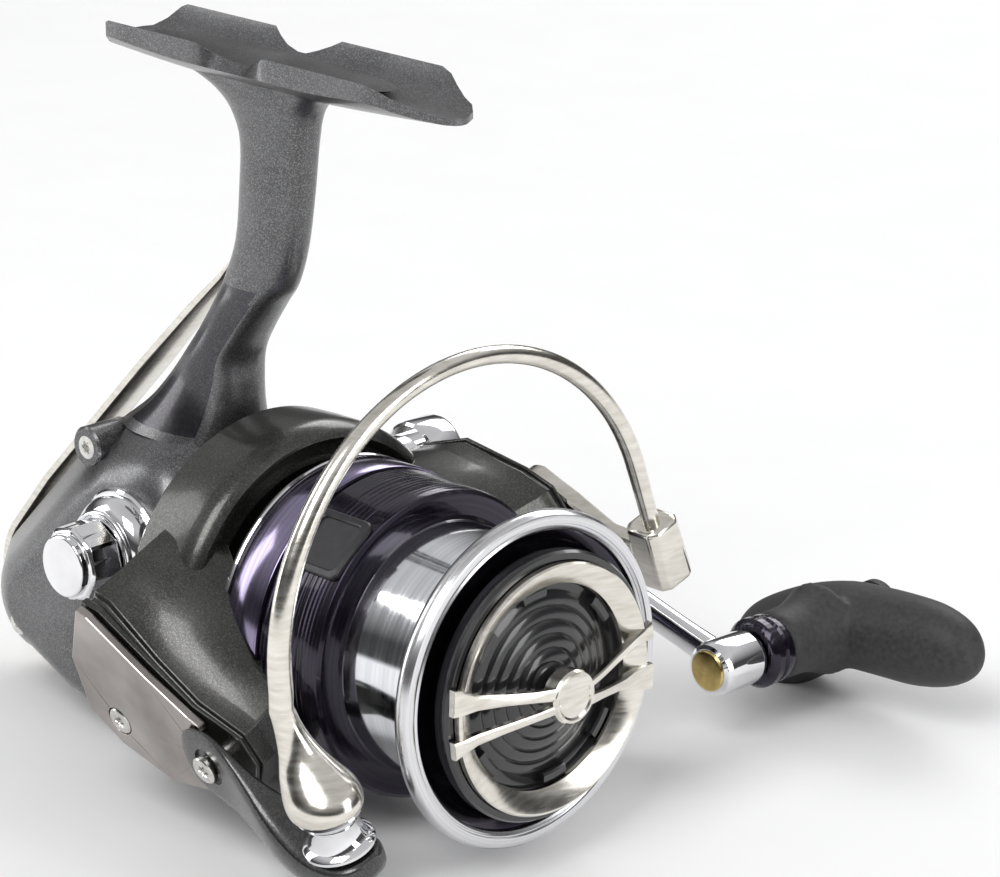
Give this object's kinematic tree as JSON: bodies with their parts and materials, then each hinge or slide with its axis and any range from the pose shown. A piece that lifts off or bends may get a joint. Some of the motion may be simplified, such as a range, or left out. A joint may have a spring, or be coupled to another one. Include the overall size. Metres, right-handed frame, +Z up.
{
  "type": "spinning reel",
  "caption": "Front-drag spinning reel with curved foot and stem, open rotor, thick wire bail, lipped spool and crank handle with a cross-bar knob.",
  "frame": {"origin": "on the rod's axis, above the middle of the foot", "axes": "+X forward along the spool axis, +Y towards the handle, +Z up to the rod"},
  "size_m": [0.1218, 0.1159, 0.0999],
  "materials": {
    "body_graphite": "satin metallic with fine flake",
    "champagne_metal": "polished, warm",
    "polished_chrome": "mirror",
    "bearing_steel": "ground",
    "steel_screw": "satin",
    "gear_brass": "machined",
    "gold_disc": "polished",
    "violet_anodised": "gloss anodised with fine turned grooves",
    "knob_rubber": "matte",
    "white_nylon": "matte",
    "rotor_charcoal": "satin",
    "black_plastic": "satin",
    "warm_silver": "polished with a warm tint",
    "lever_dark": "satin",
    "slider_zinc": "cast zinc",
    "satin_silver": "satin turned",
    "lilac_metal": "gloss anodised",
    "drag_felt": "greased felt",
    "black_gloss": "gloss"
  },
  "bodies": {
    "body": {"foot": "body_graphite", "body_frame": "body_graphite", "side_cover": "body_graphite", "side_cover_screws": "steel_screw", "rear_guard": "champagne_metal", "rear_guard_screw": "steel_screw", "side_cap": "polished_chrome", "cap_collar": "polished_chrome", "left_drive_bearing": "bearing_steel", "right_drive_bearing": "bearing_steel", "pinion_bearing": "bearing_steel", "anti_reverse_clutch": "bearing_steel", "slider_guide_pin": "bearing_steel"},
    "handle": {"drive_gear": "gear_brass", "handle_shank": "polished_chrome", "handle_arm": "polished_chrome", "arm_screw": "polished_chrome", "knob_axle": "bearing_steel", "axle_end_disc": "gold_disc", "knob_screw": "steel_screw"},
    "knob": {"knob_collar": "violet_anodised", "knob_grip": "knob_rubber", "knob_bearings": "bearing_steel", "knob_cap": "knob_rubber"},
    "oscillation": {"oscillation_gear": "white_nylon"},
    "rotor": {"rotor": "rotor_charcoal", "pinion": "gear_brass", "clutch_sleeve": "bearing_steel", "rotor_nut": "bearing_steel", "nut_retainer": "black_plastic", "arm_cover": "warm_silver", "arm_cover_screw": "steel_screw", "far_arm_cover": "rotor_charcoal", "bail_pivot_screws": "steel_screw", "bail_spring": "bearing_steel"},
    "bail": {"bail_lever": "lever_dark", "bail_wire": "champagne_metal", "bail_cone": "champagne_metal", "bail_holder": "champagne_metal", "roller_screw": "steel_screw"},
    "line_roller": {"line_roller": "polished_chrome", "roller_bearing": "bearing_steel"},
    "shaft": {"main_shaft": "bearing_steel", "slider": "slider_zinc", "slider_screw": "steel_screw", "click_gear": "black_plastic"},
    "spool": {"spool_body": "violet_anodised", "spool_lip": "satin_silver", "spool_band": "lilac_metal", "spool_rear_ring": "polished_chrome", "line_clip": "black_plastic", "drag_felts": "drag_felt", "drag_plates": "bearing_steel", "washer_retainer": "steel_screw"},
    "drag_knob": {"drag_knob": "black_gloss", "drag_trim": "champagne_metal", "drag_nut": "gear_brass", "drag_spring": "bearing_steel"}
  },
  "joints": [
    {"name": "handle_crank", "type": "hinge", "parent": "body", "child": "handle", "pos_m": [-0.0175, 0, -0.0746], "axis": [0, 1, 0], "continuous": true},
    {"name": "knob_spin", "type": "hinge", "parent": "handle", "child": "knob", "pos_m": [0.03559, 0, -0.09392], "axis": [0, 1, 0], "continuous": true},
    {"name": "oscillation_gear_spin", "type": "hinge", "parent": "body", "child": "oscillation", "pos_m": [-0.0312, 0, -0.0865], "axis": [0, 1, 0], "continuous": true},
    {"name": "rotor_spin", "type": "hinge", "parent": "body", "child": "rotor", "pos_m": [0, 0, -0.08], "axis": [1, 0, 0], "continuous": true},
    {"name": "bail_flip", "type": "hinge", "parent": "rotor", "child": "bail", "pos_m": [0.0185, 0, -0.08], "axis": [0, 0.9426, 0.3338], "range_deg": [0, 110]},
    {"name": "line_roller_spin", "type": "hinge", "parent": "bail", "child": "line_roller", "pos_m": [0.0415, -0.03064, -0.09085], "axis": [0, -0.3338, 0.9426], "continuous": true},
    {"name": "spool_stroke", "type": "slide", "parent": "body", "child": "shaft", "axis": [1, 0, 0], "range_m": [-0.003, 0.012]},
    {"name": "spool_drag_spin", "type": "hinge", "parent": "shaft", "child": "spool", "pos_m": [0.03, 0, -0.08], "axis": [1, 0, 0], "continuous": true},
    {"name": "drag_knob_turn", "type": "hinge", "parent": "shaft", "child": "drag_knob", "pos_m": [0.045, 0, -0.08], "axis": [1, 0, 0], "range_deg": [-360, 360]}
  ],
  "couplings": [
    {"joint": "rotor_spin", "follows": "handle_crank", "ratio": 5.25},
    {"joint": "oscillation_gear_spin", "follows": "handle_crank", "ratio": -0.5}
  ]
}
